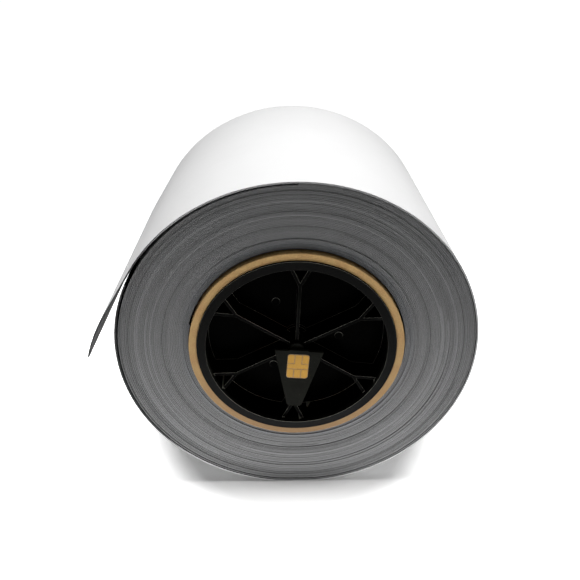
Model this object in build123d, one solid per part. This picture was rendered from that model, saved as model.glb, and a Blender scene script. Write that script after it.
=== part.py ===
from build123d import *
import math
import os

# A roll of sign vinyl that lies on its side, in millimetres.
# Row frame: the origin is the middle of the flat that the roll rests on, straight below its axis.
# +Z is up, +Y runs along the axis from the chip end to the far end, +X is to the right of the chip end.
# Pieces are drawn in a flat frame: x to the right, y up, both from the roll's axis, and depth into the roll.

# ---- web: white film on a dark liner, wound on the core ----
WEB_WIDTH = 110.0
FILM = 0.1
LINER = 0.5
ROLL_R = 67.7
OUTER_SAG = 1.0
PACK_SAG = 0.7
SETTLE = 0.42
DISH = 3.15

# ---- loose end of the web: it lifts off, runs straight, then curls back in ----
LIFT_ANGLE = 90.0
LIFT_R = 70.7
LEAVE_ANGLE = 147.5
TAIL_RUN = 21.0
TAIL_CURL_R = 76.0
TAIL_CURL = 15.5
TURN_START = 154.0

# ---- core: three inch paperboard tube ----
CORE_BORE_R = 38.1
CORE_WALL = 3.15
CORE_START = 1.1
CORE_LENGTH = 112.0

# ---- strip that fastens the start of the web to the core ----
STRIP_ARC = 42.0
STRIP_THICK = 0.08
STRIP_MARGIN = 6.0

# ---- hub ----
HUB_START = 0.5
HUB_DEPTH = 16.0
HUB_LEAD_IN = 0.8
RIM_WALL = 3.35
RIB_COUNT = 6
RIB_TURN = -2.4
RIB_THICK = 1.2
RIB_START = 3.3
RIB_INNER_R = 3.2
FORK_R = 26.7
FORK_SPREAD = 7.0
WEB_FLOOR = 12.7
WEB_PLATE = 1.5
BOSS_R = 4.7
BOSS_START = 11.0
BOSS_END = 17.2
BOSS_BORE_R = 2.35
EJECTOR_R = 1.6
EJECTOR_RISE = 0.25
EJECTOR_PITCH_R = 17.0
EJECTOR_TURN = 30.0
REAR_HUB_TURN = 17.0

# ---- tongue that carries the chip ----
TONGUE_TURN = 4.3
TONGUE_THICK = 1.5
TONGUE_TOP_W = 18.8
TONGUE_BOTTOM_W = 5.6
TONGUE_LENGTH = 26.3
TONGUE_CORNER = 1.6
TONGUE_OFFSET = 0.95
SEAT_W = 7.2
SEAT_RISE = 0.4
BARREL_R = 2.7
STEM_R = 2.3
END_PLAY = 0.1
STEM_END = 19.0
GROOVE_R = 1.8
CLIP_R = 3.4
CLIP_BORE_R = 1.85
CLIP_START = 17.35
CLIP_THICK = 0.5
CLIP_PLAY = 0.02
CLIP_MOUTH = 2.88
STEM_CHAMFER = 0.38

# ---- contact chip ----
CHIP_W = 8.4
CHIP_H = 11.2
CHIP_CORNER = 1.2
CHIP_CENTRE = -7.0
BOARD_THICK = 0.16
PAD_THICK = 0.05
PAD_GAP = 0.3
PAD_COLUMNS = 3
PAD_BAR = 2.2
GLUE_THICK = 0.04
CHIP_SLACK = 0.05
POCKET_W = 6.2
POCKET_H = 7.2
POCKET_DEPTH = 0.55
RESIN_MARGIN = 0.2
RESIN_CORNER = 1.0
RESIN_SUNK = 0.1
DIE_SIZE = 2.4
DIE_THICK = 0.2

# ---- worked out ----
AXIS_HEIGHT = ROLL_R - SETTLE
CORE_R = CORE_BORE_R + CORE_WALL
LINER_R = ROLL_R - FILM
PACK_R = LINER_R - LINER
RIM_R = CORE_BORE_R - RIM_WALL
ROLL_MIDDLE = CORE_START + CORE_LENGTH / 2
TOP = 90.0
BIG = 4 * ROLL_R


def polar(radius, angle):
    """Point in the flat frame, from the roll's axis."""
    turn = math.radians(angle)
    return Vector(radius * math.cos(turn), radius * math.sin(turn))


def slab(face, near, far):
    """Solid of a flat face, between two depths into the roll."""
    return extrude(Pos(0, 0, -far) * face, amount=far - near)


def rod(radius, near, far):
    """Round bar on the roll's axis, between two depths."""
    return slab(Circle(radius), near, far)


def stand(piece):
    """Turn a piece from the flat frame into the row frame."""
    return Pos(0, -ROLL_MIDDLE, AXIS_HEIGHT) * Rot(90, 0, 0) * piece


def settled(radius, sag):
    """Section of the sagged roll: a little wider than high, with a flat where it lies."""
    cut = Pos(0, -(radius - SETTLE) - BIG / 2) * Rectangle(BIG, BIG)
    return Ellipse(radius + sag, radius) - cut


def sector(start, end, radius):
    """Pie-shaped face between two angles less than half a turn apart."""
    corners = [(0, 0), polar(radius, start), polar(radius, end)]
    return make_face(Polyline(*corners, close=True))


def loose_path(depth):
    """Lines and arcs along the loose end, a given depth below the film's outer face."""
    lift_centre = polar(ROLL_R - LIFT_R, LIFT_ANGLE)
    run = polar(TAIL_RUN, LEAVE_ANGLE + 90)
    curl_centre = lift_centre + polar(LIFT_R - TAIL_CURL_R, LEAVE_ANGLE) + run
    lift_angles = (LIFT_ANGLE, (LIFT_ANGLE + LEAVE_ANGLE) / 2, LEAVE_ANGLE)
    curl_angles = (LEAVE_ANGLE, LEAVE_ANGLE + TAIL_CURL / 2, LEAVE_ANGLE + TAIL_CURL)
    lift = [lift_centre + polar(LIFT_R - depth, angle) for angle in lift_angles]
    curl = [curl_centre + polar(TAIL_CURL_R - depth, angle) for angle in curl_angles]
    return lift, curl


def loose_face(outer, inner):
    """Section of one layer's loose end between two depths below the film's outer face."""
    lift_out, curl_out = loose_path(outer)
    lift_in, curl_in = loose_path(inner)
    outline = [
        ThreePointArc(*lift_out),
        Line(lift_out[-1], curl_out[0]),
        ThreePointArc(*curl_out),
        Line(curl_out[-1], curl_in[-1]),
        ThreePointArc(*reversed(curl_in)),
        Line(curl_in[0], lift_in[-1]),
        ThreePointArc(*reversed(lift_in)),
        Line(lift_in[0], lift_out[0]),
    ]
    return make_face(Wire(outline))


def outer_layer(outer, inner):
    """One layer of the outermost turn: an open ring that runs on into the loose end."""
    ring = settled(ROLL_R - outer, OUTER_SAG) - settled(ROLL_R - inner, OUTER_SAG)
    ring = ring - sector(LIFT_ANGLE, TURN_START, BIG)
    return slab(ring + loose_face(outer, inner), 0, WEB_WIDTH)


def dished(start, end):
    """Body of revolution whose two ends are dished, as when the inner wraps slip along the axis."""
    def end_depth(radius):
        return DISH * (end - radius) / (end - CORE_R)

    corners = [
        (start, 0, -end_depth(start)),
        (end, 0, -end_depth(end)),
        (end, 0, -end_depth(end) - WEB_WIDTH),
        (start, 0, -end_depth(start) - WEB_WIDTH),
    ]
    return revolve(make_face(Polyline(*corners, close=True)), Axis.Z)


def strip_ring():
    """Adhesive strip on the core, over a short arc."""
    arc = Circle(CORE_R + STRIP_THICK) - Circle(CORE_R)
    patch = arc & sector(TOP - STRIP_ARC / 2, TOP + STRIP_ARC / 2, BIG)
    return slab(patch, DISH + STRIP_MARGIN, WEB_WIDTH - STRIP_MARGIN)


def wound_web():
    pack = dished(CORE_R, PACK_R + PACK_SAG) & slab(settled(PACK_R, PACK_SAG), -BIG, BIG)
    return pack - strip_ring()


def core():
    tube = Circle(CORE_R) - Circle(CORE_BORE_R)
    return slab(tube, CORE_START, CORE_START + CORE_LENGTH)


def bar(start, end, thick):
    """Straight strip of even thickness between two points of the flat frame."""
    middle = (start + end) / 2
    along = end - start
    turn = math.degrees(math.atan2(along.Y, along.X))
    return Pos(middle.X, middle.Y) * Rot(0, 0, turn) * Rectangle(along.length, thick)


def forked_rib(angle):
    """Rib from the centre that forks into two arms before it meets the rim."""
    fork = polar(FORK_R, angle)
    face = bar(polar(RIB_INNER_R, angle), fork, RIB_THICK)
    face += Pos(fork.X, fork.Y) * Circle(RIB_THICK / 2)
    for side in (-FORK_SPREAD, FORK_SPREAD):
        face += bar(fork, polar(RIM_R + RIB_THICK, angle + side), RIB_THICK)
    return slab(face, RIB_START, WEB_FLOOR + WEB_PLATE / 2)


def hub():
    """Moulded plug: rim, closed web, forked ribs and a bored centre boss."""
    far = HUB_START + HUB_DEPTH
    rim = rod(CORE_BORE_R, HUB_START, far) - rod(RIM_R, HUB_START - 1, far + 1)
    rim = chamfer(rim.edges().group_by(Axis.Z)[0].sort_by(SortBy.LENGTH)[-1], HUB_LEAD_IN)
    body = rim + rod(RIM_R + RIB_THICK, WEB_FLOOR, WEB_FLOOR + WEB_PLATE)
    body += rod(BOSS_R, BOSS_START, BOSS_END)
    for number in range(RIB_COUNT):
        body += forked_rib(TOP + RIB_TURN + number * 360 / RIB_COUNT)
    for number in range(0, RIB_COUNT, 2):
        angle = TOP + EJECTOR_TURN + RIB_TURN + number * 360 / RIB_COUNT
        spot = polar(EJECTOR_PITCH_R, angle)
        body += Pos(spot.X, spot.Y) * rod(EJECTOR_R, WEB_FLOOR - EJECTOR_RISE, WEB_FLOOR + WEB_PLATE / 2)
    return body - rod(BOSS_BORE_R, 0, BOSS_END + 1)


def rear_hub():
    """The same moulding pressed into the far end, facing the other way."""
    turned = Pos(0, 0, -2 * ROLL_MIDDLE) * Rot(0, 180, 0) * hub()
    return Rot(0, 0, REAR_HUB_TURN) * turned


def hung(piece):
    """Turn a piece of the tongue to the angle at which it rests."""
    return Rot(0, 0, -TONGUE_TURN) * piece


def chip_outline(grow):
    return Pos(TONGUE_OFFSET, CHIP_CENTRE) * RectangleRounded(CHIP_W + grow, CHIP_H + grow, CHIP_CORNER)


def chip_pocket():
    return Pos(TONGUE_OFFSET, CHIP_CENTRE) * Rectangle(POCKET_W, POCKET_H)


PAD_BACK = HUB_START + PAD_THICK
BOARD_BACK = PAD_BACK + BOARD_THICK
SEAT_DEPTH = BOARD_BACK + GLUE_THICK
POCKET_BACK = SEAT_DEPTH + POCKET_DEPTH


def chip_tongue():
    """Tapered plate with a stepped recess for the chip, on a stem that turns in the hub's boss."""
    top, bottom = TONGUE_TOP_W / 2, TONGUE_BOTTOM_W / 2
    corners = [(-top, 0), (top, 0), (bottom, -TONGUE_LENGTH), (-bottom, -TONGUE_LENGTH)]
    face = make_face(Polyline(*corners, close=True))
    face = fillet(face.vertices().group_by(Axis.Y)[0], TONGUE_CORNER)
    face += Pos(0, (SEAT_RISE - 1) / 2) * Rectangle(SEAT_W, SEAT_RISE + 1)
    plate = slab(Pos(TONGUE_OFFSET, 0) * face, HUB_START, HUB_START + TONGUE_THICK)
    plate -= slab(chip_outline(2 * CHIP_SLACK), 0, SEAT_DEPTH)
    plate -= slab(chip_pocket(), 0, POCKET_BACK)
    barrel = rod(BARREL_R, HUB_START + TONGUE_THICK, BOSS_START - END_PLAY)
    stem = rod(STEM_R, BOSS_START - END_PLAY, STEM_END)
    stem = chamfer(stem.edges().group_by(Axis.Z)[0], STEM_CHAMFER)
    stem -= rod(STEM_R + 1, CLIP_START, CLIP_START + CLIP_THICK) - rod(GROOVE_R, 0, STEM_END)
    return hung(plate + barrel + stem)


def tongue_clip():
    washer = Circle(CLIP_R) - Circle(CLIP_BORE_R)
    mouth = Pos(0, CLIP_R) * Rectangle(CLIP_MOUTH, 2 * CLIP_R)
    return hung(slab(washer - mouth, CLIP_START + CLIP_PLAY, CLIP_START + CLIP_THICK - CLIP_PLAY))


def contact_pads():
    """Six gold contacts; the upper middle one runs on into a bar across the chip."""
    pitch = CHIP_W / PAD_COLUMNS
    reach = (CHIP_H - PAD_BAR) / 2
    trim = chip_outline(-PAD_GAP)
    across = Pos(TONGUE_OFFSET, CHIP_CENTRE) * Rectangle(CHIP_W, PAD_BAR)
    faces = []
    for column in range(PAD_COLUMNS):
        x = TONGUE_OFFSET + (column - (PAD_COLUMNS - 1) / 2) * pitch
        for row in (1, -1):
            y = CHIP_CENTRE + row * (PAD_BAR + reach) / 2
            faces.append(Pos(x, y) * Rectangle(pitch - PAD_GAP, reach - 2 * PAD_GAP))
    bridge = Pos(TONGUE_OFFSET, CHIP_CENTRE + PAD_BAR / 2) * Rectangle(pitch - PAD_GAP, 4 * PAD_GAP)
    faces[2] = faces[2] + bridge + across
    return Compound([hung(slab(face & trim, HUB_START, PAD_BACK)).solid() for face in faces])


def chip_board():
    return hung(slab(chip_outline(0), PAD_BACK, BOARD_BACK))


def chip_adhesive():
    return hung(slab(chip_outline(0) - chip_pocket(), BOARD_BACK, SEAT_DEPTH))


def chip_die():
    face = Pos(TONGUE_OFFSET, CHIP_CENTRE) * Rectangle(DIE_SIZE, DIE_SIZE)
    return hung(slab(face, BOARD_BACK, BOARD_BACK + DIE_THICK))


def chip_potting():
    """Drop of resin that fills the pocket over the die."""
    width, height = POCKET_W - 2 * RESIN_MARGIN, POCKET_H - 2 * RESIN_MARGIN
    drop = Pos(TONGUE_OFFSET, CHIP_CENTRE) * RectangleRounded(width, height, RESIN_CORNER)
    return hung(slab(drop, BOARD_BACK, POCKET_BACK - RESIN_SUNK)) - chip_die()


PIECES = {
    "core": core,
    "start_strip": strip_ring,
    "wound_web": wound_web,
    "outer_liner": lambda: outer_layer(FILM, FILM + LINER),
    "outer_film": lambda: outer_layer(0, FILM),
    "front_hub": hub,
    "rear_hub": rear_hub,
    "chip_tongue": chip_tongue,
    "tongue_clip": tongue_clip,
    "contact_pads": contact_pads,
    "chip_board": chip_board,
    "chip_adhesive": chip_adhesive,
    "chip_die": chip_die,
    "chip_potting": chip_potting,
}

os.makedirs("parts", exist_ok=True)
for name, make in PIECES.items():
    export_step(stand(make()), f"parts/{name}.step")
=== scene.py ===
"""A roll of sign vinyl with a chip tongue in its end hub: its looks and its stage."""

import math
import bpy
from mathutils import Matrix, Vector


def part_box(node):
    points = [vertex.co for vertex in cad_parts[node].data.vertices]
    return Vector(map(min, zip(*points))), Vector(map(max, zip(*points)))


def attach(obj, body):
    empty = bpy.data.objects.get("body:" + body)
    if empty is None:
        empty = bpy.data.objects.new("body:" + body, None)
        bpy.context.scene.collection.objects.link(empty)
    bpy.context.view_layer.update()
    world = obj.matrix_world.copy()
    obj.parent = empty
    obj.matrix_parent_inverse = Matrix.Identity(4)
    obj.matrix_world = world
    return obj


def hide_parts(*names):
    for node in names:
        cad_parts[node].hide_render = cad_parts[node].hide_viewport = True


bl_info = {
    "name": "Sign vinyl roll",
    "version": (1, 0, 0),
    "blender": (4, 5, 0),
    "location": "View3D > Sidebar > Vinyl roll",
    "description": "Winds a roll of sign vinyl on its core and fits the hubs and the chip tongue",
    "category": "Add Mesh",
}

import bmesh
import bpy
from mathutils import Vector, noise

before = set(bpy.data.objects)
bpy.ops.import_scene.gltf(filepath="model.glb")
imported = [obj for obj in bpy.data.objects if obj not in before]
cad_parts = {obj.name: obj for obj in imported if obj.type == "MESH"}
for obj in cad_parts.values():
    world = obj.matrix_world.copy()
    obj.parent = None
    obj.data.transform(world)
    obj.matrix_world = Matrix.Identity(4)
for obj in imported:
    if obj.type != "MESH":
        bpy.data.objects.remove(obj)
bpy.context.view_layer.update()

MM = 0.001


def node_centre(name):
    """Middle of a CAD node's box."""
    low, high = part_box(name)
    return (low + high) / 2


CORE_LOW, CORE_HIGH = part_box("core")
AXIS = node_centre("core")
CORE_R = (CORE_HIGH.x - CORE_LOW.x) / 2
HUB_LOW, HUB_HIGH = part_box("front_hub")
BORE_R = (HUB_HIGH.x - HUB_LOW.x) / 2
WEB_LOW, WEB_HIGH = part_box("outer_film")
ROLL_R = WEB_HIGH.z - AXIS.z
FACE_Y = WEB_LOW.y
WEB_WIDTH = WEB_HIGH.y - WEB_LOW.y
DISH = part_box("wound_web")[1].y - WEB_HIGH.y


# ---------------------------------------------------------------- sizes and colours

def length(name, value, about, low=0.0):
    """A size in metres, as a property."""
    return bpy.props.FloatProperty(
        name=name, description=about, default=value, min=low, unit="LENGTH", precision=5
    )


def amount(name, value, about):
    """A power or a strength, as a property."""
    return bpy.props.FloatProperty(name=name, description=about, default=value, min=0.0)


def angle(name, degrees, about):
    """An angle, as a property."""
    return bpy.props.FloatProperty(
        name=name, description=about, default=math.radians(degrees), unit="ROTATION"
    )


def colour(name, value, about):
    """A colour, as a property."""
    return bpy.props.FloatVectorProperty(
        name=name, description=about, default=value, size=3, min=0.0, max=1.0, subtype="COLOR"
    )


class WebSizes(bpy.types.PropertyGroup):
    """The web, how it is wound, and its loose end."""

    film: length("Film", 0.1 * MM, "Thickness of the white film")
    liner: length("Liner", 0.5 * MM, "Thickness of the dark liner")
    slip: length("Slip", 0.14 * MM, "How far the wraps wander sideways")
    steps: bpy.props.IntProperty(
        name="Steps per turn", description="Straight steps in one turn of the web", default=96, min=24
    )
    seed: bpy.props.IntProperty(name="Seed", description="Seed of the wraps' wander", default=7)
    sag: length("Sag", 1.0 * MM, "How much farther out the outermost turn bulges at each side")
    pack_sag: length("Wound sag", 0.7 * MM, "How much farther out the wound web bulges at each side")
    wayward: length("Wayward", 0.35 * MM, "How far a wayward wrap stands out of the face")
    lift_angle: angle("Lift angle", 90.0, "Where the outermost turn starts to lift off")
    lift_radius: length("Lift radius", 70.7 * MM, "Radius of the loosened stretch")
    leave_angle: angle("Leave angle", 147.5, "Where the loose end runs straight")
    run: length("Straight run", 21.0 * MM, "Straight part of the loose end")
    curl_radius: length("Curl radius", 76.0 * MM, "Radius of the curl at the loose end")
    curl: angle("Curl", 15.5, "How far the loose end curls back in")
    turn_start: angle("Turn start", 154.0, "Where the outermost turn starts under the loose end")


class MouldSizes(bpy.types.PropertyGroup):
    """Edge softness of the moulded and cut pieces."""

    hub_edge: length("Hub edge", 0.22 * MM, "Radius on the hub's edges")
    tongue_edge: length("Tongue edge", 0.16 * MM, "Radius on the tongue's edges")
    clip_edge: length("Clip edge", 0.04 * MM, "Radius on the clip's edges")
    pad_edge: length("Contact edge", 0.012 * MM, "Radius on the contacts' edges")
    core_edge: length("Core edge", 0.25 * MM, "Softness of the cut ends of the core")
    core_rough: length("Core roughness", 0.06 * MM, "Roughness of the cut ends of the core")


class Finishes(bpy.types.PropertyGroup):
    """Colours of the finishes."""

    film: colour("Film", (0.80, 0.80, 0.80), "White vinyl film")
    liner: colour("Liner", (0.075, 0.076, 0.078), "Dark liner")
    liner_edge: colour("Liner edge", (0.170, 0.171, 0.173), "Cut edges of the dark liner")
    board: colour("Paperboard", (0.92, 0.515, 0.22), "Paperboard of the core")
    hub: colour("Hub", (0.0030, 0.0030, 0.0026), "Hub plastic")
    tongue: colour("Tongue", (0.0058, 0.0062, 0.0044), "Tongue plastic")
    gold: colour("Gold", (0.24, 0.135, 0.031), "Contact plating")
    laminate: colour("Laminate", (0.16, 0.085, 0.018), "Chip laminate")
    steel: colour("Steel", (0.55, 0.55, 0.56), "Clip steel")
    floor: colour("Floor", (0.93, 0.93, 0.93), "Studio floor")


class Studio(bpy.types.PropertyGroup):
    """Camera and lights."""

    eye: bpy.props.FloatVectorProperty(
        name="Eye", description="Camera's place from the middle of the roll's near face",
        default=(-0.00540, -0.19574, 0.13585), size=3, unit="LENGTH", subtype="TRANSLATION",
    )
    tilt: angle("Tilt", 29.051, "How far the camera looks down")
    pan: angle("Pan", 0.818, "How far the camera looks to the right")
    lens: bpy.props.FloatProperty(name="Lens", description="Focal length in mm", default=38.70, min=1.0)
    key_place: bpy.props.FloatVectorProperty(
        name="Key light's place", description="Place of the overhead key light",
        default=(0.05, 0.03, 2.0), size=3, unit="LENGTH", subtype="TRANSLATION",
    )
    key_target: bpy.props.FloatVectorProperty(
        name="Key light's target", description="Middle of the key light's pool on the floor",
        default=(0.0, -0.03, 0.0), size=3, unit="LENGTH", subtype="TRANSLATION",
    )
    key_power: amount("Key light", 178.0, "Power of the key light in watts")
    key_size: length("Key size", 0.17, "Radius of the key light")
    key_cone: angle("Key cone", 15.0, "Opening of the key light's cone")
    tent_power: amount("Tent", 2.5, "Power of the large soft light in watts")
    left_power: amount("Left panel", 1.9, "Power of the left panel in watts")
    right_power: amount("Right panel", 3.4, "Power of the right panel in watts")
    card_power: amount("Front card", 0.03, "Power of the low card in front in watts")
    sky: amount("Sky", 0.03, "Strength of the light from all round")
    bounce: amount("Bounce", 2.0, "Light that the floor by the roll throws up at it")
    glow_far: amount("Far floor", 1.0, "White that the camera sees in the far floor")
    glow_start: length("Bounce start", 0.08, "Distance at which the floor's bounce starts to fade")
    glow_full: length("Bounce end", 0.22, "Distance at which the floor's bounce has faded")
    glow_edge: length("Bounce edge", 0.060, "How far before the axis' middle the bounce begins")
    glow_in: length("Bounce front", 0.078, "How far before the axis' middle the bounce is full")
    contact_reach: length("Shadow reach", 0.060, "Half the width of the contact shadow")
    contact_depth: length("Shadow depth", 0.074, "Half the depth of the contact shadow")


# ---------------------------------------------------------------- node helpers

def add_node(tree, kind, inputs=None, **settings):
    """Add a node, apply its settings, and fill its inputs from values or from other nodes' sockets."""
    made = tree.nodes.new(kind)
    for name, value in settings.items():
        setattr(made, name, value)
    for key, value in (inputs or {}).items():
        if isinstance(value, bpy.types.NodeSocket):
            tree.links.new(value, made.inputs[key])
        else:
            made.inputs[key].default_value = value
    return made


def calc(tree, operation, first, second=None, third=None):
    """A maths node's result."""
    given = {i: v for i, v in enumerate((first, second, third)) if v is not None}
    return add_node(tree, "ShaderNodeMath", given, operation=operation).outputs[0]


def new_tree(name, kind, inputs, outputs):
    """An empty node group with named sockets: (group, group input, group output)."""
    tree = bpy.data.node_groups.new(name, kind)
    for label, socket_type, default in inputs:
        socket = tree.interface.new_socket(label, in_out="INPUT", socket_type=socket_type)
        if default is not None:
            socket.default_value = default
    for label, socket_type in outputs:
        tree.interface.new_socket(label, in_out="OUTPUT", socket_type=socket_type)
    return tree, tree.nodes.new("NodeGroupInput"), tree.nodes.new("NodeGroupOutput")


def use_tree(host, tree, values):
    """Put a geometry node tree on an object, with its named inputs set."""
    modifier = host.modifiers.new(tree.name, "NODES")
    modifier.node_group = tree
    for item in tree.interface.items_tree:
        if item.item_type == "SOCKET" and item.in_out == "INPUT" and item.name in values:
            modifier[item.identifier] = values[item.name]
    return modifier


# ---------------------------------------------------------------- geometry node trees

def ribbon_tree():
    """Sweeps a flat strip along a path and stands it up around the roll's axis."""
    tree, given, out = new_tree(
        "sweep_ribbon",
        "GeometryNodeTree",
        [
            ("Path", "NodeSocketGeometry", None),
            ("Wrap", "NodeSocketFloat", 0.0),
            ("Thickness", "NodeSocketFloat", 0.5 * MM),
            ("Width", "NodeSocketFloat", WEB_WIDTH),
            ("Front", "NodeSocketFloat", FACE_Y),
            ("Axis height", "NodeSocketFloat", AXIS.z),
            ("Material", "NodeSocketMaterial", None),
        ],
        [("Ribbon", "NodeSocketGeometry")],
    )
    g = given.outputs
    marked = add_node(tree, "GeometryNodeCaptureAttribute", {"Geometry": g["Path"]})
    marked.capture_items.new("FLOAT", "Wrap")
    marked.capture_items.new("FLOAT", "Along")
    along = add_node(tree, "GeometryNodeSplineParameter").outputs["Length"]
    tree.links.new(g["Wrap"], marked.inputs["Wrap"])
    tree.links.new(along, marked.inputs["Along"])
    normals = add_node(
        tree, "GeometryNodeSetCurveNormal", {"Curve": marked.outputs["Geometry"]}, mode="Z_UP"
    )
    strip = add_node(
        tree, "GeometryNodeCurvePrimitiveQuadrilateral", {"Width": g["Thickness"], "Height": g["Width"]}
    )
    rounded = add_node(
        tree,
        "GeometryNodeFilletCurve",
        {"Curve": strip.outputs[0], "Radius": calc(tree, "MULTIPLY", g["Thickness"], 0.12), "Count": 1},
        mode="POLY",
    )
    swept = add_node(
        tree,
        "GeometryNodeCurveToMesh",
        {"Curve": normals.outputs[0], "Profile Curve": rounded.outputs[0], "Fill Caps": True},
    )
    normal = add_node(tree, "GeometryNodeInputNormal").outputs[0]
    facing = add_node(tree, "ShaderNodeSeparateXYZ", {0: normal})
    cut = calc(tree, "GREATER_THAN", calc(tree, "ABSOLUTE", facing.outputs["Z"]), 0.5)
    kept = swept.outputs[0]
    for name, domain, value in (
        ("cut_edge", "FACE", cut),
        ("wrap", "POINT", marked.outputs["Wrap"]),
        ("along", "POINT", marked.outputs["Along"]),
    ):
        kept = add_node(
            tree,
            "GeometryNodeStoreNamedAttribute",
            {"Geometry": kept, "Name": name, "Value": value},
            data_type="FLOAT",
            domain=domain,
        ).outputs[0]
    place = add_node(
        tree,
        "ShaderNodeCombineXYZ",
        {"Y": calc(tree, "MULTIPLY_ADD", g["Width"], 0.5, g["Front"]), "Z": g["Axis height"]},
    )
    stood = add_node(
        tree,
        "GeometryNodeTransform",
        {"Geometry": kept, "Translation": place.outputs[0], "Rotation": (math.pi / 2, 0, 0)},
    )
    smooth = add_node(tree, "GeometryNodeSetShadeSmooth", {"Geometry": stood.outputs[0]})
    real = add_node(tree, "GeometryNodeRealizeInstances", {"Geometry": smooth.outputs[0]})
    finish = add_node(
        tree, "GeometryNodeSetMaterial", {"Geometry": real.outputs[0], "Material": g["Material"]}
    )
    tree.links.new(finish.outputs[0], out.inputs["Ribbon"])
    return tree


def ranged(tree, value, low, high, to_low=0.0, to_high=1.0):
    """A value spread from one range to another, held at its ends."""
    given = {"Value": value, "From Min": low, "From Max": high, "To Min": to_low, "To Max": to_high}
    return add_node(tree, "ShaderNodeMapRange", given).outputs[0]


def wave(tree, place, frequency, seed):
    """Smooth random value about zero along a path."""
    offset = calc(tree, "MULTIPLY", seed, 13.7)
    found = add_node(
        tree,
        "ShaderNodeTexNoise",
        {"W": calc(tree, "MULTIPLY_ADD", place, frequency, offset), "Scale": 1.0, "Detail": 1.0},
        noise_dimensions="1D",
    )
    return calc(tree, "SUBTRACT", found.outputs[0], 0.5)


def wayward_wraps(tree, back, pace, seed):
    """Nothing for most wraps, up to one for the few that stray."""
    swing = {"Value": wave(tree, back, pace, seed), "From Min": 0.14, "From Max": 0.3}
    return add_node(tree, "ShaderNodeMapRange", swing).outputs[0]


def winding_tree(ribbon):
    """Winds one layer of the web on the core, wrap on wrap, with a little sideways wander."""
    tree, given, out = new_tree(
        "wind_layer",
        "GeometryNodeTree",
        [
            ("Geometry", "NodeSocketGeometry", None),
            ("Turns", "NodeSocketFloat", 40.0),
            ("Steps per turn", "NodeSocketInt", 96),
            ("End angle", "NodeSocketFloat", 0.0),
            ("End radius", "NodeSocketFloat", ROLL_R),
            ("Core radius", "NodeSocketFloat", CORE_R),
            ("Pitch", "NodeSocketFloat", 0.6 * MM),
            ("Layer depth", "NodeSocketFloat", 0.0),
            ("Thickness", "NodeSocketFloat", 0.5 * MM),
            ("Dish", "NodeSocketFloat", DISH),
            ("Sag", "NodeSocketFloat", 0.5 * MM),
            ("Slip", "NodeSocketFloat", 0.1 * MM),
            ("Wayward", "NodeSocketFloat", 0.3 * MM),
            ("Settle", "NodeSocketFloat", 0.1 * MM),
            ("Seed", "NodeSocketInt", 1),
            ("Material", "NodeSocketMaterial", None),
        ],
        [("Layer", "NodeSocketGeometry")],
    )
    g = given.outputs
    last = calc(tree, "ROUND", calc(tree, "MULTIPLY", g["Turns"], g["Steps per turn"]))
    line = add_node(
        tree, "GeometryNodeMeshLine", {"Count": calc(tree, "ADD", last, 1.0)}, mode="OFFSET"
    )
    curve = add_node(tree, "GeometryNodeMeshToCurve", {"Mesh": line.outputs[0]})
    index = add_node(tree, "GeometryNodeInputIndex").outputs[0]
    back = calc(tree, "DIVIDE", calc(tree, "SUBTRACT", last, index), g["Steps per turn"])
    turn = calc(tree, "MULTIPLY_ADD", back, -2 * math.pi, g["End angle"])
    outside = calc(tree, "SUBTRACT", g["End radius"], calc(tree, "MULTIPLY", g["Pitch"], back))
    radius = calc(tree, "SUBTRACT", outside, g["Layer depth"])
    share = calc(
        tree,
        "DIVIDE",
        calc(tree, "SUBTRACT", outside, g["Core radius"]),
        calc(tree, "SUBTRACT", g["End radius"], g["Core radius"]),
    )
    pressed = calc(tree, "POWER", share, 2.0)
    low = calc(tree, "MULTIPLY_ADD", g["Settle"], pressed, calc(tree, "MULTIPLY", radius, -1.0))
    wide = calc(tree, "MULTIPLY_ADD", g["Sag"], pressed, radius)
    x = calc(tree, "MULTIPLY", wide, calc(tree, "COSINE", turn))
    y = calc(tree, "MAXIMUM", calc(tree, "MULTIPLY", radius, calc(tree, "SINE", turn)), low)
    drift = wave(tree, back, 0.37, g["Seed"])
    proud = wayward_wraps(tree, back, 0.61, calc(tree, "ADD", g["Seed"], 3))
    sunk = wayward_wraps(tree, back, 0.67, calc(tree, "ADD", g["Seed"], 8))
    stray = calc(tree, "SUBTRACT", sunk, proud)
    dished = calc(tree, "MULTIPLY", g["Dish"], calc(tree, "SUBTRACT", 1.0, share))
    depth = calc(tree, "MULTIPLY_ADD", drift, g["Slip"], dished)
    depth = calc(tree, "MAXIMUM", calc(tree, "MULTIPLY_ADD", stray, g["Wayward"], depth), 0.0)
    spot = add_node(
        tree, "ShaderNodeCombineXYZ", {"X": x, "Y": y, "Z": calc(tree, "MULTIPLY", depth, -1.0)}
    )
    path = add_node(
        tree, "GeometryNodeSetPosition", {"Geometry": curve.outputs[0], "Position": spot.outputs[0]}
    )
    swept = add_node(
        tree,
        "GeometryNodeGroup",
        {},
        node_tree=ribbon,
    )
    for name, value in (
        ("Path", path.outputs[0]),
        ("Wrap", calc(tree, "ADD", back, 1.2)),
        ("Thickness", g["Thickness"]),
        ("Material", g["Material"]),
    ):
        tree.links.new(value, swept.inputs[name])
    tree.links.new(swept.outputs[0], out.inputs["Layer"])
    return tree


def shared_tree(name, make, *args):
    """A node tree by name, made the first time it is asked for."""
    return bpy.data.node_groups.get(name) or make(*args)


# ---------------------------------------------------------------- mesh helpers

def new_object(name, mesh):
    """An object at the origin, in the scene."""
    made = bpy.data.objects.new(name, mesh)
    bpy.context.scene.collection.objects.link(made)
    return made


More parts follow.
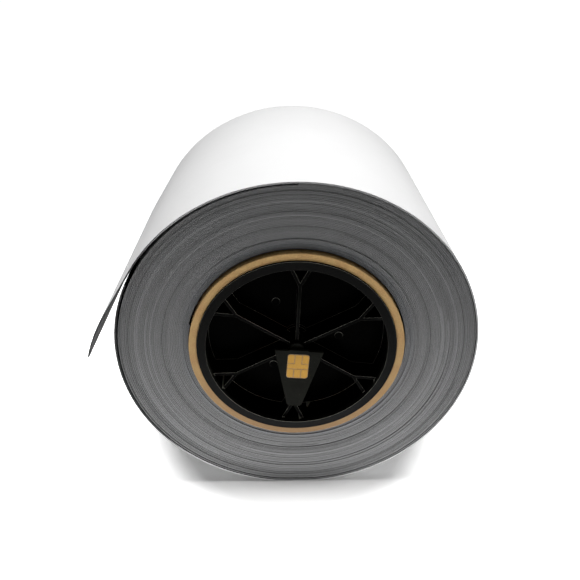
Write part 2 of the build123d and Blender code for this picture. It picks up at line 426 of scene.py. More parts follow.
def bake_modifiers(made, crease=None):
    """Turn an object with modifiers into a plain mesh; a swept one also gets outward normals."""
    shown = made.evaluated_get(bpy.context.evaluated_depsgraph_get())
    mesh = bpy.data.meshes.new_from_object(shown)
    made.modifiers.clear()
    old = made.data
    made.data = mesh
    if isinstance(old, bpy.types.Mesh):
        bpy.data.meshes.remove(old)
    mesh.name = made.name
    if crease is not None:
        shell = bmesh.new()
        shell.from_mesh(mesh)
        bmesh.ops.recalc_face_normals(shell, faces=shell.faces)
        shell.to_mesh(mesh)
        shell.free()
        mesh.shade_smooth()
        mesh.set_sharp_from_angle(angle=math.radians(crease))
    return made


def softened_copy(name, node, width, steps=2):
    """A copy of a CAD node whose edges are rounded as a moulding's are."""
    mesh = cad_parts[node].data.copy()
    mesh.materials.clear()
    shell = bmesh.new()
    shell.from_mesh(mesh)
    bmesh.ops.remove_doubles(shell, verts=shell.verts, dist=1e-6)
    bmesh.ops.dissolve_limit(
        shell, angle_limit=math.radians(1.0), verts=shell.verts, edges=shell.edges
    )
    shell.to_mesh(mesh)
    shell.free()
    mesh.shade_smooth()
    mesh.set_sharp_from_angle(angle=math.radians(30))
    made = new_object(name, mesh)
    bevel = made.modifiers.new("soft_edges", "BEVEL")
    bevel.width = width
    bevel.segments = steps
    bevel.limit_method = "ANGLE"
    bevel.angle_limit = math.radians(35)
    bevel.use_clamp_overlap = True
    bevel.miter_outer = "MITER_ARC"
    bevel.harden_normals = True
    return bake_modifiers(made)


def fit(made, body, slot, material, *nodes):
    """Give a finished piece its material and body, and hide the CAD nodes it stands for; the slot argument
    is not used.
    """
    if material is not None:
        made.data.materials.clear()
        made.data.materials.append(material)
    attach(made, body)
    if nodes:
        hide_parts(*nodes)
    return made


def repaint(node, material):
    """Give a CAD node that keeps its own mesh a better material."""
    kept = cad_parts[node]
    kept.data.materials.clear()
    kept.data.materials.append(material)


# ---------------------------------------------------------------- shader groups

def mottle_group():
    """Soft uneven value between two limits, for roughness and for tone."""
    tree, given, out = new_tree(
        "mottle",
        "ShaderNodeTree",
        [
            ("Vector", "NodeSocketVector", None),
            ("Scale", "NodeSocketFloat", 300.0),
            ("Detail", "NodeSocketFloat", 3.0),
            ("Low", "NodeSocketFloat", 0.3),
            ("High", "NodeSocketFloat", 0.5),
        ],
        [("Value", "NodeSocketFloat")],
    )
    g = given.outputs
    cloud = add_node(
        tree, "ShaderNodeTexNoise", {"Vector": g["Vector"], "Scale": g["Scale"], "Detail": g["Detail"]}
    )
    spread = add_node(
        tree,
        "ShaderNodeMapRange",
        {
            "Value": cloud.outputs[0],
            "From Min": 0.3,
            "From Max": 0.7,
            "To Min": g["Low"],
            "To Max": g["High"],
        },
    )
    tree.links.new(spread.outputs[0], out.inputs["Value"])
    return tree


def grain_group():
    """Fine bump of a moulded, calendered or cut surface."""
    tree, given, out = new_tree(
        "grain",
        "ShaderNodeTree",
        [
            ("Vector", "NodeSocketVector", None),
            ("Scale", "NodeSocketFloat", 2500.0),
            ("Depth", "NodeSocketFloat", 0.02 * MM),
            ("Strength", "NodeSocketFloat", 0.4),
        ],
        [("Normal", "NodeSocketVector")],
    )
    g = given.outputs
    cloud = add_node(
        tree,
        "ShaderNodeTexNoise",
        {"Vector": g["Vector"], "Scale": g["Scale"], "Detail": 3.0, "Roughness": 0.6},
    )
    raised = add_node(
        tree,
        "ShaderNodeBump",
        {"Height": cloud.outputs[0], "Distance": g["Depth"], "Strength": g["Strength"]},
    )
    tree.links.new(raised.outputs[0], out.inputs["Normal"])
    return tree


def dust_group():
    """Sparse pale specks, as a mask."""
    tree, given, out = new_tree(
        "dust",
        "ShaderNodeTree",
        [
            ("Vector", "NodeSocketVector", None),
            ("Scale", "NodeSocketFloat", 900.0),
            ("Amount", "NodeSocketFloat", 0.1),
        ],
        [("Mask", "NodeSocketFloat")],
    )
    g = given.outputs
    cells = add_node(tree, "ShaderNodeTexVoronoi", {"Vector": g["Vector"], "Scale": g["Scale"]})
    speck = calc(tree, "LESS_THAN", cells.outputs["Distance"], g["Amount"])
    picked = add_node(tree, "ShaderNodeSeparateColor", {0: cells.outputs["Color"]})
    few = calc(tree, "GREATER_THAN", picked.outputs[0], 0.72)
    tree.links.new(calc(tree, "MULTIPLY", speck, few), out.inputs["Mask"])
    return tree


def around_axis_group():
    """Distance from the roll's axis and angle round it, from object coordinates."""
    tree, given, out = new_tree(
        "around_axis",
        "ShaderNodeTree",
        [("Vector", "NodeSocketVector", None), ("Axis height", "NodeSocketFloat", AXIS.z)],
        [("Radius", "NodeSocketFloat"), ("Angle", "NodeSocketFloat"), ("Depth", "NodeSocketFloat")],
    )
    parts = add_node(tree, "ShaderNodeSeparateXYZ", {0: given.outputs["Vector"]}).outputs
    up = calc(tree, "SUBTRACT", parts["Z"], given.outputs["Axis height"])
    square = calc(tree, "MULTIPLY_ADD", up, up, calc(tree, "MULTIPLY", parts["X"], parts["X"]))
    tree.links.new(calc(tree, "SQRT", square), out.inputs["Radius"])
    tree.links.new(calc(tree, "ARCTAN2", up, parts["X"]), out.inputs["Angle"])
    tree.links.new(parts["Y"], out.inputs["Depth"])
    return tree


def shader_group(material_tree, name, make, values):
    """A shared shader group placed in a material."""
    made = material_tree.nodes.new("ShaderNodeGroup")
    made.node_tree = shared_tree(name, make)
    for key, value in values.items():
        if isinstance(value, bpy.types.NodeSocket):
            material_tree.links.new(value, made.inputs[key])
        else:
            made.inputs[key].default_value = value
    return made.outputs


# ---------------------------------------------------------------- materials

def new_material(name, **constants):
    """A material with a Principled shader whose constants are set on its own sockets."""
    material = bpy.data.materials.new(name)
    material.use_nodes = True
    tree = material.node_tree
    tree.nodes.clear()
    surface = add_node(tree, "ShaderNodeBsdfPrincipled")
    result = add_node(tree, "ShaderNodeOutputMaterial")
    tree.links.new(surface.outputs[0], result.inputs["Surface"])
    for key, value in constants.items():
        surface.inputs[key.replace("_", " ")].default_value = value
    place = add_node(tree, "ShaderNodeTexCoord").outputs["Object"]
    return material, tree, surface.inputs, place


def blend_colours(tree, share, first, second):
    """Mix of two colours by a mask."""
    mix = add_node(tree, "ShaderNodeMix", {"Factor": share}, data_type="RGBA")
    for socket, value in ((mix.inputs[6], first), (mix.inputs[7], second)):
        if isinstance(value, bpy.types.NodeSocket):
            tree.links.new(value, socket)
        else:
            socket.default_value = (*value[:3], 1.0)
    return mix.outputs[2]


def scaled(value, factor):
    """A colour made lighter or darker."""
    return tuple(min(1.0, part * factor) for part in value)


def attribute(tree, name):
    """A named attribute of the mesh."""
    return add_node(tree, "ShaderNodeAttribute", attribute_name=name).outputs["Fac"]


def mottled(tree, place, scale, low, high, **more):
    """Soft patches of any value between two."""
    given = {"Vector": place, "Scale": scale, "Low": low, "High": high, **more}
    return shader_group(tree, "mottle", mottle_group, given)["Value"]


def grained(tree, place, scale, depth, strength):
    """Normal of a fine rough surface."""
    given = {"Vector": place, "Scale": scale, "Depth": depth, "Strength": strength}
    return shader_group(tree, "grain", grain_group, given)["Normal"]


def film_material():
    """White vinyl: satin, faintly uneven, greyer on its cut edges."""
    white = bpy.context.scene.roll_finishes.film
    material, tree, surface, place = new_material("white_film", Specular_IOR_Level=0.35)
    cloud = mottled(tree, place, 45.0, 0.0, 1.0)
    face = blend_colours(tree, cloud, white, scaled(white, 0.985))
    cut = blend_colours(tree, outer_turn(tree), scaled(white, 0.30), scaled(white, 0.62))
    tree.links.new(blend_colours(tree, attribute(tree, "cut_edge"), face, cut), surface["Base Color"])
    rough = mottled(tree, place, 160.0, 0.34, 0.42)
    tree.links.new(rough, surface["Roughness"])
    peel = grained(tree, place, 700.0, 0.004 * MM, 0.5)
    tree.links.new(peel, surface["Normal"])
    return material


def outer_turn(tree):
    """Mask of the outermost turn, which is numbered 0."""
    return calc(tree, "LESS_THAN", attribute(tree, "wrap"), 0.5)


def left_side(tree, place):
    """Mask of the roll's left flank, where the outermost edge is painted black as shade under the loose
    end.
    """
    turn = shader_group(tree, "around_axis", around_axis_group, {"Vector": place})["Angle"]
    return add_node(
        tree,
        "ShaderNodeMapRange",
        {"Value": calc(tree, "ABSOLUTE", turn), "From Min": 2.2, "From Max": 2.6},
        interpolation_type="SMOOTHSTEP",
    ).outputs[0]


def wound_tone(tree, per_wrap, per_metre):
    """Tone from 0 to 1 that changes across the wraps and slowly along each of them."""
    spot = add_node(
        tree,
        "ShaderNodeCombineXYZ",
        {
            "X": calc(tree, "MULTIPLY", attribute(tree, "wrap"), per_wrap),
            "Y": calc(tree, "MULTIPLY", attribute(tree, "along"), per_metre),
        },
    )
    cloud = add_node(tree, "ShaderNodeTexNoise", {"Vector": spot.outputs[0], "Scale": 1.0, "Detail": 1.0})
    return ranged(tree, cloud.outputs[0], 0.3, 0.7)


def liner_material():
    """Dark flexible liner: matt, its cut edges worn paler, unevenly from wrap to wrap; painted shade
    darkens the second wrap's edge and the outermost edge on the left flank.
    """
    dark = bpy.context.scene.roll_finishes.liner
    edge = bpy.context.scene.roll_finishes.liner_edge
    material, tree, surface, place = new_material("dark_liner", Specular_IOR_Level=0.22)
    cut = blend_colours(tree, wound_tone(tree, 0.31, 1.1), scaled(edge, 0.86), scaled(edge, 1.14))
    dark_lines = calc(tree, "GREATER_THAN", wound_tone(tree, 0.47, 0.35), 0.80)
    cut = blend_colours(tree, calc(tree, "MULTIPLY", dark_lines, 0.8), cut, scaled(edge, 0.42))
    pale_lines = calc(tree, "LESS_THAN", wound_tone(tree, 0.47, 0.35), 0.16)
    cut = blend_colours(tree, calc(tree, "MULTIPLY", pale_lines, 0.85), cut, scaled(edge, 1.6))
    near_core = ranged(tree, attribute(tree, "wrap"), 36.0, 43.0)
    blue = (edge[0] * 0.86, edge[1] * 0.92, edge[2] * 1.0)
    cut = blend_colours(tree, near_core, cut, blue)
    # Painted shade: the outermost turn's edge is painted near black on the left flank, as shade under the
    # loose end, and pale elsewhere.
    outermost = blend_colours(tree, left_side(tree, place), scaled(edge, 3.2), scaled(edge, 0.15))
    cut = blend_colours(tree, outer_turn(tree), cut, outermost)
    # Painted shadow: the second wrap's edge is darkened as the shadowed gap under the outermost turn.
    second = calc(tree, "LESS_THAN", attribute(tree, "wrap"), 2.0)
    second = calc(tree, "SUBTRACT", second, outer_turn(tree))
    cut = blend_colours(tree, calc(tree, "MULTIPLY", second, 0.8), cut, scaled(edge, 0.55))
    crumb = mottled(tree, place, 1500.0, 0.0, 0.24)
    cut = blend_colours(tree, crumb, cut, scaled(edge, 1.6))
    face = blend_colours(tree, crumb, dark, scaled(dark, 1.6))
    tree.links.new(blend_colours(tree, attribute(tree, "cut_edge"), face, cut), surface["Base Color"])
    rough = mottled(tree, place, 500.0, 0.55, 0.75)
    tree.links.new(rough, surface["Roughness"])
    nap = grained(tree, place, 3200.0, 0.02 * MM, 0.5)
    tree.links.new(nap, surface["Normal"])
    return material


def paperboard_material():
    """Grey-brown paperboard: fibres and plies seen on the cut ends."""
    tan = bpy.context.scene.roll_finishes.board
    material, tree, surface, place = new_material("fibre_board", Specular_IOR_Level=0.15)
    round_axis = shader_group(tree, "around_axis", around_axis_group, {"Vector": place})
    ply = add_node(
        tree,
        "ShaderNodeTexNoise",
        {"W": calc(tree, "MULTIPLY", round_axis["Radius"], 2400.0), "Scale": 1.0, "Detail": 1.0},
        noise_dimensions="1D",
    ).outputs[0]
    fibre = mottled(tree, place, 1500.0, 0.0, 1.0, Detail=6.0)
    patch = mottled(tree, place, 260.0, 0.0, 1.0)
    base = blend_colours(tree, ply, scaled(tan, 0.72), scaled(tan, 1.28))
    base = blend_colours(tree, calc(tree, "MULTIPLY", fibre, 0.55), base, scaled(tan, 0.55))
    base = blend_colours(tree, calc(tree, "MULTIPLY", patch, 0.3), base, scaled(tan, 1.5))
    # Darker towards the bottom: the board is blended towards a dark bluish brown, most at the bottom.
    height = calc(tree, "MULTIPLY", round_axis["Radius"], calc(tree, "SINE", round_axis["Angle"]))
    darker_below = ranged(tree, height, -CORE_R, CORE_R, 0.9, 0.0)
    base = blend_colours(tree, darker_below, base, (tan[0] * 0.22, tan[1] * 0.25, tan[2] * 0.34))
    tree.links.new(base, surface["Base Color"])
    surface["Roughness"].default_value = 0.86
    fuzz = grained(tree, place, 1700.0, 0.12 * MM, 0.7)
    tree.links.new(fuzz, surface["Normal"])
    return material


def plastic_material(name, base, rough, specular, recess, grain_depth, glint_gain):
    """Black moulded plastic: painted shade darkens its recesses and dulls their reflection, and a painted
    highlight pales the edges that look up.
    """
    material, tree, surface, place = new_material(name)
    depth = shader_group(tree, "around_axis", around_axis_group, {"Vector": place})["Depth"]
    # Painted shade: colour and reflection grow darker with depth behind the near face, as shade falls in
    # the recesses.
    sunk = add_node(
        tree,
        "ShaderNodeMapRange",
        {
            "Value": calc(tree, "SUBTRACT", depth, FACE_Y),
            "From Min": 2.1 * MM,
            "From Max": 3.6 * MM,
            "To Min": 1.0,
            "To Max": recess,
        },
    ).outputs[0]
    specks = shader_group(tree, "dust", dust_group, {"Vector": place, "Scale": 700.0, "Amount": 0.10})
    tone = mottled(tree, place, 220.0, 0.0, 1.0)
    body = blend_colours(tree, tone, scaled(base, 0.8), scaled(base, 1.25))
    body = blend_colours(tree, sunk, scaled(base, 0.2), body)
    # Painted highlight: bevelled edges that look up are painted paler, standing for glints of light.
    facing = add_node(tree, "ShaderNodeTexCoord").outputs["Normal"]
    facing = add_node(tree, "ShaderNodeSeparateXYZ", {0: facing}).outputs
    front = calc(tree, "MULTIPLY", facing["Y"], -1.0)
    off_side = calc(tree, "GREATER_THAN", front, 0.2)
    off_front = calc(tree, "LESS_THAN", front, 0.95)
    corner = calc(tree, "MULTIPLY", off_side, off_front)
    upward = ranged(tree, facing["Z"], -0.1, 0.7, 0.06)
    body = blend_colours(tree, calc(tree, "MULTIPLY", corner, upward), body, scaled(base, glint_gain))
    # Sparse dust specks, dimmed by the painted shade in the recesses.
    shaded_dust = calc(tree, "MULTIPLY", calc(tree, "MULTIPLY", specks["Mask"], 0.03), sunk)
    tree.links.new(blend_colours(tree, shaded_dust, body, (0.35, 0.33, 0.30)), surface["Base Color"])
    # The painted shade also weakens the reflection in the recesses.
    tree.links.new(calc(tree, "MULTIPLY", sunk, specular), surface["Specular IOR Level"])
    gloss = mottled(tree, place, 400.0, rough * 0.85, rough * 1.15)
    tree.links.new(gloss, surface["Roughness"])
    grain = grained(tree, place, 2600.0, grain_depth, 0.4)
    tree.links.new(grain, surface["Normal"])
    return material


def metal_material(name, base, low, high, stretch):
    """Plated or rolled metal with fine scratches one way."""
    material, tree, surface, place = new_material(name, Metallic=1.0)
    drawn = add_node(tree, "ShaderNodeMapping", {"Vector": place, "Scale": stretch}).outputs[0]
    streak = mottled(tree, drawn, 900.0, 0.0, 1.0)
    cloud = mottled(tree, place, 420.0, 0.0, 1.0)
    tone = blend_colours(tree, streak, scaled(base, 0.86), scaled(base, 1.08))
    tree.links.new(blend_colours(tree, cloud, tone, scaled(base, 0.92)), surface["Base Color"])
    rough = add_node(
        tree, "ShaderNodeMapRange", {"Value": streak, "To Min": low, "To Max": high}
    ).outputs[0]
    tree.links.new(rough, surface["Roughness"])
    fine = grained(tree, drawn, 1500.0, 0.004 * MM, 0.4)
    tree.links.new(fine, surface["Normal"])
    return material


def hidden_material(name, base, roughness, scale):
    """Finish of a small inner piece: mottled tone and a fine grain."""
    material, tree, surface, place = new_material(name, Roughness=roughness)
    cloud = mottled(tree, place, scale, 0.0, 1.0)
    tree.links.new(blend_colours(tree, cloud, scaled(base, 0.8), scaled(base, 1.2)), surface["Base Color"])
    grain = shader_group(
        tree, "grain", grain_group, {"Vector": place, "Scale": 4 * scale, "Depth": 0.01 * MM}
    )["Normal"]
    tree.links.new(grain, surface["Normal"])
    return material


def finish_for(name, make, *args):
    """A material by name, made the first time it is asked for."""
    return bpy.data.materials.get(name) or make(*args)


# ---------------------------------------------------------------- the web

def polar(radius, turn):
    """Point in the flat frame: x to the right, y up, from the roll's axis."""
    return Vector((radius * math.cos(turn), radius * math.sin(turn), 0.0))


def oval(radius, sag, turn):
    """Point of a sagged wrap: an ellipse with the flat on which the roll lies."""
    spot = Vector(((radius + sag) * math.cos(turn), radius * math.sin(turn), 0.0))
    spot.y = max(spot.y, ROLL_R - AXIS.z - radius)
    return spot


def outer_path(depth):
    """Path of one layer of the outermost turn and its loose end, a given depth below the outer face."""
    web = bpy.context.scene.roll_web
    step = 2 * math.pi / (1.5 * web.steps)
    start = web.turn_start - 2 * math.pi
    count = round((web.lift_angle - start) / step)
    turns = [start + (web.lift_angle - start) * number / count for number in range(count)]
    path = [oval(ROLL_R - depth, web.sag, turn) for turn in turns]
    lift_centre = polar(ROLL_R - web.lift_radius, web.lift_angle)
    turn = web.lift_angle
    while turn < web.leave_angle:
        path.append(lift_centre + polar(web.lift_radius - depth, turn))
        turn += step
    run = polar(web.run, web.leave_angle + math.pi / 2)
    leave = lift_centre + polar(web.lift_radius - depth, web.leave_angle)
    path += [leave + run * share / 6 for share in range(6)]
    curl_centre = lift_centre + polar(web.lift_radius - web.curl_radius, web.leave_angle) + run
    for number in range(13):
        turn = web.leave_angle + web.curl * number / 12
        path.append(curl_centre + polar(web.curl_radius - depth, turn))
    return path


def path_object(name, path):
    """A chain of edges through the points of a path."""
    mesh = bpy.data.meshes.new(name)
    mesh.from_pydata([tuple(p) for p in path], [(i, i + 1) for i in range(len(path) - 1)], [])
    return new_object(name, mesh)


def outer_ribbon_tree(ribbon):
    """The ribbon tree on the path that the object itself holds."""
    tree, given, out = new_tree(
        "lay_outer_turn",
        "GeometryNodeTree",
        [
            ("Geometry", "NodeSocketGeometry", None),
            ("Thickness", "NodeSocketFloat", 0.5 * MM),
            ("Material", "NodeSocketMaterial", None),
        ],
        [("Layer", "NodeSocketGeometry")],
    )
    curve = add_node(tree, "GeometryNodeMeshToCurve", {"Mesh": given.outputs["Geometry"]})
    swept = add_node(tree, "GeometryNodeGroup", {}, node_tree=ribbon)
    tree.links.new(curve.outputs[0], swept.inputs["Path"])
    tree.links.new(given.outputs["Thickness"], swept.inputs["Thickness"])
    tree.links.new(given.outputs["Material"], swept.inputs["Material"])
    tree.links.new(swept.outputs[0], out.inputs["Layer"])
    return tree


class VINYL_OT_wind_web(bpy.types.Operator):
    """Wind the inner wraps of film and liner on the core"""

    bl_idname = "vinyl.wind_web"
    bl_label = "Wind web"

    def execute(self, context):
        web = context.scene.roll_web
        ribbon = shared_tree("sweep_ribbon", ribbon_tree)
        tree = shared_tree("wind_layer", winding_tree, ribbon)
        pitch = web.film + web.liner
        end_radius = ROLL_R - pitch
        layers = (
            ("wound_liner", web.liner, web.film + web.liner / 2, finish_for("dark_liner", liner_material)),
            ("wound_film", web.film, web.film / 2, finish_for("white_film", film_material)),
        )
        for name, thick, depth, material in layers:
            made = new_object(name, bpy.data.meshes.new(name))
            use_tree(
                made,
                tree,
                {
                    "Turns": (end_radius - CORE_R - 1.3 * pitch) / pitch,
                    "Steps per turn": web.steps,
                    "End angle": web.lift_angle,
                    "End radius": end_radius,
                    "Core radius": CORE_R,
                    "Pitch": pitch,
                    "Layer depth": depth,
                    "Thickness": thick * 0.96,
                    "Dish": DISH,
                    "Sag": web.pack_sag,
                    "Slip": web.slip,
                    "Wayward": web.wayward,
                    "Settle": ROLL_R - AXIS.z,
                    "Seed": web.seed,
                    "Material": material,
                },
            )
            bake_modifiers(made, crease=25)
            fit(made, "roll", "liner" if "liner" in name else "film", material, "wound_web")
        return {"FINISHED"}


class VINYL_OT_outer_turn(bpy.types.Operator):
    """Lay the outermost turn of film and liner with its loose end"""

    bl_idname = "vinyl.outer_turn"
    bl_label = "Lay outer turn"

    def execute(self, context):
        web = context.scene.roll_web
        ribbon = shared_tree("sweep_ribbon", ribbon_tree)
        tree = shared_tree("lay_outer_turn", outer_ribbon_tree, ribbon)
        layers = (
            ("loose_liner", web.liner, web.film + web.liner / 2, "liner", "dark_liner", liner_material),
            ("loose_film", web.film, web.film / 2, "film", "white_film", film_material),
        )
        for name, thick, depth, slot, finish, make in layers:
            material = finish_for(finish, make)
            made = path_object(name, outer_path(depth))
            use_tree(made, tree, {"Thickness": thick, "Material": material})
            bake_modifiers(made, crease=25)
            fit(made, "roll", slot, material, "outer_" + slot)
        return {"FINISHED"}


# ---------------------------------------------------------------- the core

def lathe(profile, steps, wobble=0.0):
    """A closed ring from a closed outline of (radius, y) points, roughened a little."""
    shell = bmesh.new()
    rings = []
    for number in range(steps):
        turn = 2 * math.pi * number / steps
        ring = []
        for radius, y in profile:
            spot = Vector((radius * math.cos(turn), y, radius * math.sin(turn) + AXIS.z))
            spot += wobble * noise.noise_vector(spot / (1.1 * MM))
            ring.append(shell.verts.new(spot))
        rings.append(ring)
    for number, ring in enumerate(rings):
        after = rings[(number + 1) % steps]
        for i in range(len(profile)):
            j = (i + 1) % len(profile)
            shell.faces.new((ring[i], ring[j], after[j], after[i]))
    bmesh.ops.recalc_face_normals(shell, faces=shell.faces)
    return shell


class VINYL_OT_core(bpy.types.Operator):
    """Make the paperboard core with its rough cut ends"""

    bl_idname = "vinyl.core"
    bl_label = "Core"

    def execute(self, context):
        soft = context.scene.roll_moulds.core_edge
        rough = context.scene.roll_moulds.core_rough
        near, far = CORE_LOW.y + rough, CORE_HIGH.y - rough
        inner, outer = BORE_R + rough, CORE_R - rough
        across = [inner + soft + (outer - inner - 2 * soft) * i / 8 for i in range(9)]
        down = [near + soft + (far - near - 2 * soft) * i / 12 for i in range(1, 12)]
        outline = [(inner, near + soft), (inner + soft * 0.3, near + soft * 0.3)]
        outline += [(radius, near) for radius in across]
        outline += [(outer - soft * 0.3, near + soft * 0.3), (outer, near + soft)]
        outline += [(outer, y) for y in down]
        outline += [(outer, far - soft), (outer - soft * 0.3, far - soft * 0.3)]
        outline += [(radius, far) for radius in reversed(across)]
        outline += [(inner + soft * 0.3, far - soft * 0.3), (inner, far - soft)]
        outline += [(inner, y) for y in reversed(down)]
        shell = lathe(outline, 360, rough)
        mesh = bpy.data.meshes.new("paper_core")
        shell.to_mesh(mesh)
        shell.free()
        mesh.shade_smooth()
        made = new_object("paper_core", mesh)
        fit(made, "roll", "paperboard", finish_for("fibre_board", paperboard_material), "core")
        strip = finish_for("clear_strip", hidden_material, "clear_strip", (0.55, 0.47, 0.30), 0.35, 400.0)
        repaint("start_strip", strip)
        return {"FINISHED"}


# ---------------------------------------------------------------- hubs and tongue

class VINYL_OT_hubs(bpy.types.Operator):
    """Make the two moulded hubs"""

    bl_idname = "vinyl.hubs"
    bl_label = "Hubs"

    def execute(self, context):
        tint = context.scene.roll_finishes.hub
        # 0.1 sets the painted shade in the hub's recesses and 140.0 the gain of the painted highlight on
        # its upward edges.
        material = finish_for(
            "black_hub", plastic_material, "black_hub", tint, 0.32, 0.04, 0.1, 0.004 * MM, 140.0
        )
        for node in ("front_hub", "rear_hub"):
            made = softened_copy(node + "_moulding", node, context.scene.roll_moulds.hub_edge)
            fit(made, "roll", "hub_plastic", material, node)
        return {"FINISHED"}


class VINYL_OT_tongue(bpy.types.Operator):
    """Make the chip tongue and the clip on its stem"""

    bl_idname = "vinyl.tongue"
    bl_label = "Tongue"

    def execute(self, context):
        moulds = context.scene.roll_moulds
        finishes = context.scene.roll_finishes
        # 0.3 sets the painted shade in the tongue's recesses and 4.0 the gain of the painted highlight on
        # its upward edges.
        black = finish_for(
            "black_tongue",
            plastic_material,
            "black_tongue",
            finishes.tongue,
            0.5,
            0.03,
            0.3,
            0.008 * MM,
            4.0,
        )
        made = softened_copy("tongue_moulding", "chip_tongue", moulds.tongue_edge)
        fit(made, "tongue", "tongue_plastic", black, "chip_tongue")
        steel = finish_for(
            "spring_steel", metal_material, "spring_steel", finishes.steel, 0.22, 0.42, (1, 1, 8)
        )
        clip = softened_copy("stem_clip", "tongue_clip", moulds.clip_edge)
        fit(clip, "tongue", "clip_steel", steel, "tongue_clip")
        return {"FINISHED"}


class VINYL_OT_chip(bpy.types.Operator):
    """Make the gold contacts and finish the pieces of the chip under them"""

    bl_idname = "vinyl.chip"
    bl_label = "Chip"

    def execute(self, context):
        finishes = context.scene.roll_finishes
        gold = finish_for("gold_plate", metal_material, "gold_plate", finishes.gold, 0.30, 0.48, (1, 1, 6))
        pads = softened_copy("gold_contacts", "contact_pads", context.scene.roll_moulds.pad_edge, 1)
        fit(pads, "tongue", "gold", gold, "contact_pads")
        glass = finish_for(
            "glass_laminate", hidden_material, "glass_laminate", finishes.laminate, 0.4, 900.0
        )
        repaint("chip_board", glass)
        for node, base, roughness in (
            ("chip_adhesive", (0.5, 0.42, 0.25), 0.3),
            ("chip_potting", (0.015, 0.015, 0.015), 0.25),
            ("chip_die", (0.12, 0.12, 0.14), 0.15),
        ):
            repaint(node, finish_for(node, hidden_material, node, base, roughness, 800.0))
        return {"FINISHED"}


# ---------------------------------------------------------------- stage

def floor_material():
    """Plain pale floor that glows a little, and that the camera sees as white away from the roll."""
    studio = bpy.context.scene.roll_studio
    base = bpy.context.scene.roll_finishes.floor
    material, tree, surface, place = new_material("studio_floor", Roughness=0.9, Specular_IOR_Level=0.0)
    cloud = mottled(tree, place, 1.5, 0.0, 1.0)
    tree.links.new(blend_colours(tree, cloud, base, scaled(base, 0.995)), surface["Base Color"])
    away = add_node(tree, "ShaderNodeVectorMath", {0: place}, operation="LENGTH").outputs["Value"]
    far = add_node(
        tree,
        "ShaderNodeMapRange",
        {"Value": away, "From Min": studio.glow_start, "From Max": studio.glow_full},
        interpolation_type="SMOOTHSTEP",
    ).outputs[0]
    parts = add_node(tree, "ShaderNodeSeparateXYZ", {0: place}).outputs
    across = calc(tree, "POWER", calc(tree, "DIVIDE", parts["X"], studio.contact_reach), 2.0)
    front = calc(tree, "POWER", calc(tree, "DIVIDE", parts["Y"], studio.contact_depth), 2.0)
    white = add_node(
        tree,
        "ShaderNodeMapRange",
        {"Value": calc(tree, "ADD", across, front), "From Min": 0.9, "From Max": 1.5},
        interpolation_type="SMOOTHSTEP",
    ).outputs[0]
    seen = add_node(tree, "ShaderNodeLightPath").outputs["Is Camera Ray"]
    shown = calc(tree, "MULTIPLY", white, studio.glow_far)
    before = ranged(tree, parts["Y"], -studio.glow_edge, -studio.glow_in)
    lifted = calc(tree, "MULTIPLY", calc(tree, "MULTIPLY_ADD", far, -studio.bounce, studio.bounce), before)
    glow = add_node(tree, "ShaderNodeMix", {0: seen, 2: lifted, 3: shown}).outputs[0]
    surface["Emission Color"].default_value = (1.0, 1.0, 1.0, 1.0)
    tree.links.new(glow, surface["Emission Strength"])
    return material


def studio_air():
    """White where the camera sees it, dim where it lights the roll."""
    world = bpy.data.worlds.new("studio_air")
    world.use_nodes = True
    tree = world.node_tree
    tree.nodes.clear()
    white = add_node(tree, "ShaderNodeBackground", {"Color": (1, 1, 1, 1), "Strength": 1.05})
    dim = add_node(
        tree, "ShaderNodeBackground", {"Color": (1, 1, 1, 1), "Strength": bpy.context.scene.roll_studio.sky}
    )
    seen = add_node(tree, "ShaderNodeLightPath").outputs["Is Camera Ray"]
    mix = add_node(tree, "ShaderNodeMixShader", {0: seen, 1: dim.outputs[0], 2: white.outputs[0]})
    result = add_node(tree, "ShaderNodeOutputWorld")
    tree.links.new(mix.outputs[0], result.inputs["Surface"])
    return world


def aim(lamp, spot, target):
    """Put a light at a spot and turn it to a target."""
    lamp.location = spot
    lamp.rotation_euler = (Vector(target) - Vector(spot)).to_track_quat("-Z", "Y").to_euler()
    lamp.visible_camera = False


def key_light(studio):
    """Soft-edged pool of light from straight above."""
    data = bpy.data.lights.new("key_light", "SPOT")
    data.energy = studio.key_power
    data.shadow_soft_size = studio.key_size
    data.spot_size = studio.key_cone
    data.spot_blend = 0.7
    aim(new_object("key_light", data), studio.key_place, studio.key_target)


def soft_panel(name, spot, side, power):
    """Large square soft light that faces the roll."""
    data = bpy.data.lights.new(name, "AREA")
    data.size = side
    data.energy = power
    aim(new_object(name, data), spot, (0.0, 0.0, 0.05))


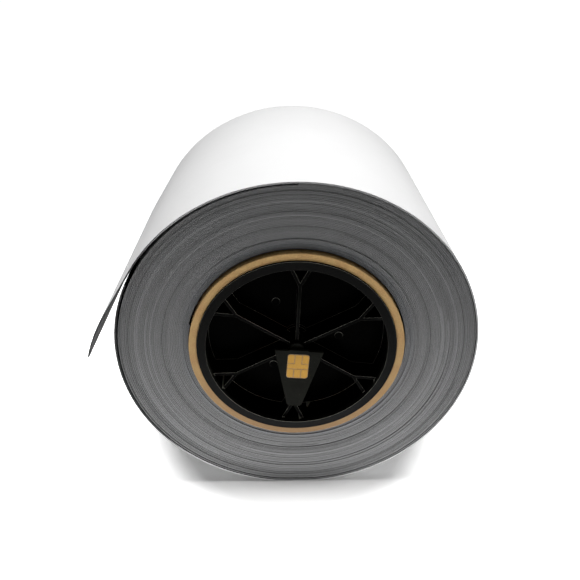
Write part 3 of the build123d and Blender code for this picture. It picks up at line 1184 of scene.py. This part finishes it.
class VINYL_OT_stage(bpy.types.Operator):
    """Set the floor, the soft light and the camera"""

    bl_idname = "vinyl.stage"
    bl_label = "Stage"

    def execute(self, context):
        studio = context.scene.roll_studio
        mesh = bpy.data.meshes.new("floor")
        reach = 8.0
        mesh.from_pydata(
            [(-reach, -reach, 0), (reach, -reach, 0), (reach, reach, 0), (-reach, reach, 0)],
            [],
            [(0, 1, 2, 3)],
        )
        floor = new_object("floor", mesh)
        floor.data.materials.append(finish_for("studio_floor", floor_material))
        key_light(studio)
        soft_panel("tent", (0.3, 0.6, 1.4), 2.4, studio.tent_power)
        soft_panel("left_panel", (-0.9, 0.1, 0.3), 0.6, studio.left_power)
        soft_panel("right_panel", (0.9, 0.1, 0.3), 0.6, studio.right_power)
        soft_panel("front_card", (0.0, -0.18, 0.01), 0.10, studio.card_power)
        context.scene.world = studio_air()
        data = bpy.data.cameras.new("camera")
        data.lens = studio.lens
        data.sensor_width = 36.0
        data.clip_start, data.clip_end = 0.01, 50.0
        camera = new_object("camera", data)
        camera.location = Vector((AXIS.x, FACE_Y, AXIS.z)) + Vector(studio.eye)
        camera.rotation_euler = (math.pi / 2 - studio.tilt, 0.0, -studio.pan)
        context.scene.camera = camera
        context.scene.view_settings.view_transform = "Standard"
        return {"FINISHED"}


class VINYL_PT_panel(bpy.types.Panel):
    """Lists the steps that build the roll"""

    bl_label = "Vinyl roll"
    bl_idname = "VINYL_PT_panel"
    bl_space_type = "VIEW_3D"
    bl_region_type = "UI"
    bl_category = "Vinyl roll"

    def draw(self, context):
        for step in STEPS:
            self.layout.operator("vinyl." + step)
        for group in ("roll_web", "roll_moulds", "roll_finishes", "roll_studio"):
            held = getattr(context.scene, group)
            box = self.layout.box()
            for name in held.bl_rna.properties.keys():
                if name not in ("rna_type", "name"):
                    box.prop(held, name)


STEPS = ("stage", "wind_web", "outer_turn", "core", "hubs", "tongue", "chip")
GROUPS = {
    "roll_web": WebSizes,
    "roll_moulds": MouldSizes,
    "roll_finishes": Finishes,
    "roll_studio": Studio,
}
CLASSES = (
    *GROUPS.values(),
    VINYL_OT_stage,
    VINYL_OT_wind_web,
    VINYL_OT_outer_turn,
    VINYL_OT_core,
    VINYL_OT_hubs,
    VINYL_OT_tongue,
    VINYL_OT_chip,
    VINYL_PT_panel,
)


def register():
    for kind in CLASSES:
        bpy.utils.register_class(kind)
    for name, kind in GROUPS.items():
        setattr(bpy.types.Scene, name, bpy.props.PointerProperty(type=kind))


def unregister():
    for name in GROUPS:
        delattr(bpy.types.Scene, name)
    for kind in reversed(CLASSES):
        bpy.utils.unregister_class(kind)


def main():
    """Build everything."""
    register()
    for step in STEPS:
        getattr(bpy.ops.vinyl, step)()


if __name__ == "__main__":
    main()
